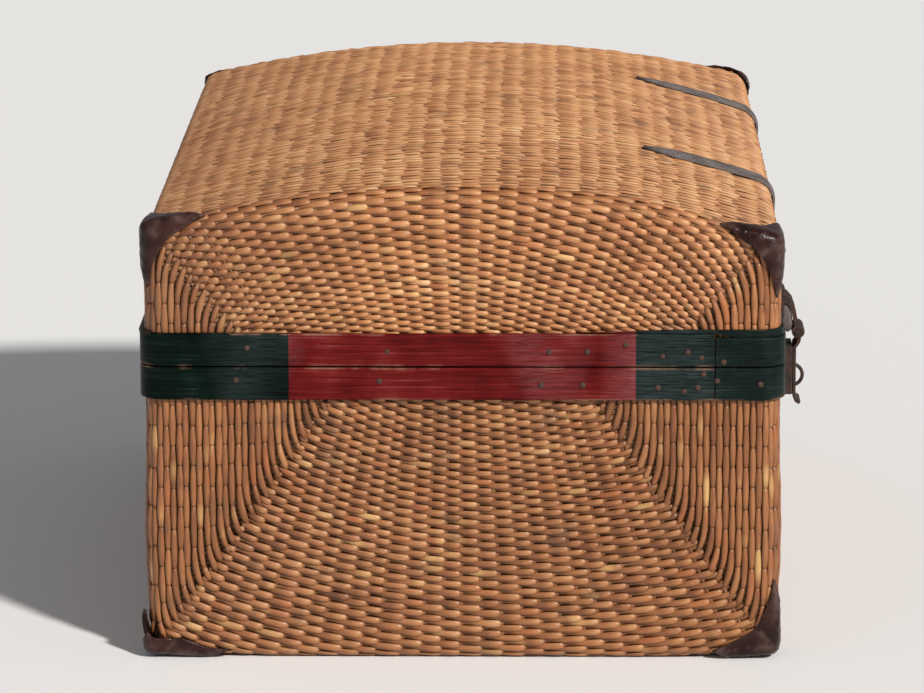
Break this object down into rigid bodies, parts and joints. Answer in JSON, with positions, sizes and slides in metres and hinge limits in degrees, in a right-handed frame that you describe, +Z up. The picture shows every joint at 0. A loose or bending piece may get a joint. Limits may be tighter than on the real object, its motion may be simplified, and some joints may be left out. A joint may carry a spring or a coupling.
{
  "type": "wicker storage trunk",
  "caption": "Woven wicker trunk with a domed lid on rolled hinges, painted wooden rim bands, leather corner caps and straps, and drop hasps over staples.",
  "frame": {"origin": "middle of the base, on the ground", "axes": "+X along the trunk towards its right end, +Y from front to back, +Z up; the hasps are on the -Y side and the hinges on the +Y side"},
  "size_m": [0.8096, 0.6076, 0.4475],
  "materials": {
    "wicker": "woven cane, honey brown, worn",
    "painted_wood": "dark green and dark red paint, worn",
    "bare_wood": "bare bent wood",
    "cap_leather": "dark maroon-brown, polished by wear",
    "strap_leather": "grey-brown, dry",
    "iron": "dark, rusted"
  },
  "bodies": {
    "trunk_body": {"base_corner_cap_back_left": "cap_leather", "base_corner_cap_back_right": "cap_leather", "base_corner_cap_front_left": "cap_leather", "base_corner_cap_front_right": "cap_leather", "body_basket": "wicker", "body_inner_hoop": "bare_wood", "body_rim_band_front": "painted_wood", "body_rim_band_rear": "painted_wood", "left_hinge_body_leaf": "iron", "left_hinge_body_rivet_1": "iron", "left_hinge_body_rivet_2": "iron", "left_hinge_pin": "iron", "left_lock_case": "iron", "left_lock_pad": "strap_leather", "left_lock_plate": "iron", "left_lock_rivet_1": "iron", "left_lock_rivet_2": "iron", "left_staple": "iron", "right_hinge_body_leaf": "iron", "right_hinge_body_rivet_1": "iron", "right_hinge_body_rivet_2": "iron", "right_hinge_pin": "iron", "right_lock_case": "iron", "right_lock_pad": "strap_leather", "right_lock_plate": "iron", "right_lock_rivet_1": "iron", "right_lock_rivet_2": "iron", "right_staple": "iron"},
    "lid": {"left_hasp_bracket": "iron", "left_hasp_pin": "iron", "left_hasp_rivet_1": "iron", "left_hasp_rivet_2": "iron", "left_hinge_lid_leaf": "iron", "left_hinge_lid_rivet_1": "iron", "left_hinge_lid_rivet_2": "iron", "left_lid_strap": "strap_leather", "lid_basket": "wicker", "lid_corner_cap_back_left": "cap_leather", "lid_corner_cap_back_right": "cap_leather", "lid_corner_cap_front_left": "cap_leather", "lid_corner_cap_front_right": "cap_leather", "lid_inner_hoop": "bare_wood", "lid_rim_band_front": "painted_wood", "lid_rim_band_rear": "painted_wood", "lid_rim_slip": "painted_wood", "right_hasp_bracket": "iron", "right_hasp_pin": "iron", "right_hasp_rivet_1": "iron", "right_hasp_rivet_2": "iron", "right_hinge_lid_leaf": "iron", "right_hinge_lid_rivet_1": "iron", "right_hinge_lid_rivet_2": "iron", "right_lid_strap": "strap_leather"},
    "left_hasp": {"left_hasp": "iron"},
    "right_hasp": {"right_hasp": "iron"}
  },
  "joints": [
    {"name": "lid_hinge", "type": "hinge", "parent": "trunk_body", "child": "lid", "pos_m": [0, 0.291, 0.268], "axis": [-1, 0, 0], "range_deg": [0, 105]},
    {"name": "left_hasp_hinge", "type": "hinge", "parent": "lid", "child": "left_hasp", "pos_m": [-0.199, -0.3045, 0.2575], "axis": [-1, 0, 0], "range_deg": [0, 150]},
    {"name": "right_hasp_hinge", "type": "hinge", "parent": "lid", "child": "right_hasp", "pos_m": [0.167, -0.3045, 0.2575], "axis": [-1, 0, 0], "range_deg": [0, 150]}
  ]
}
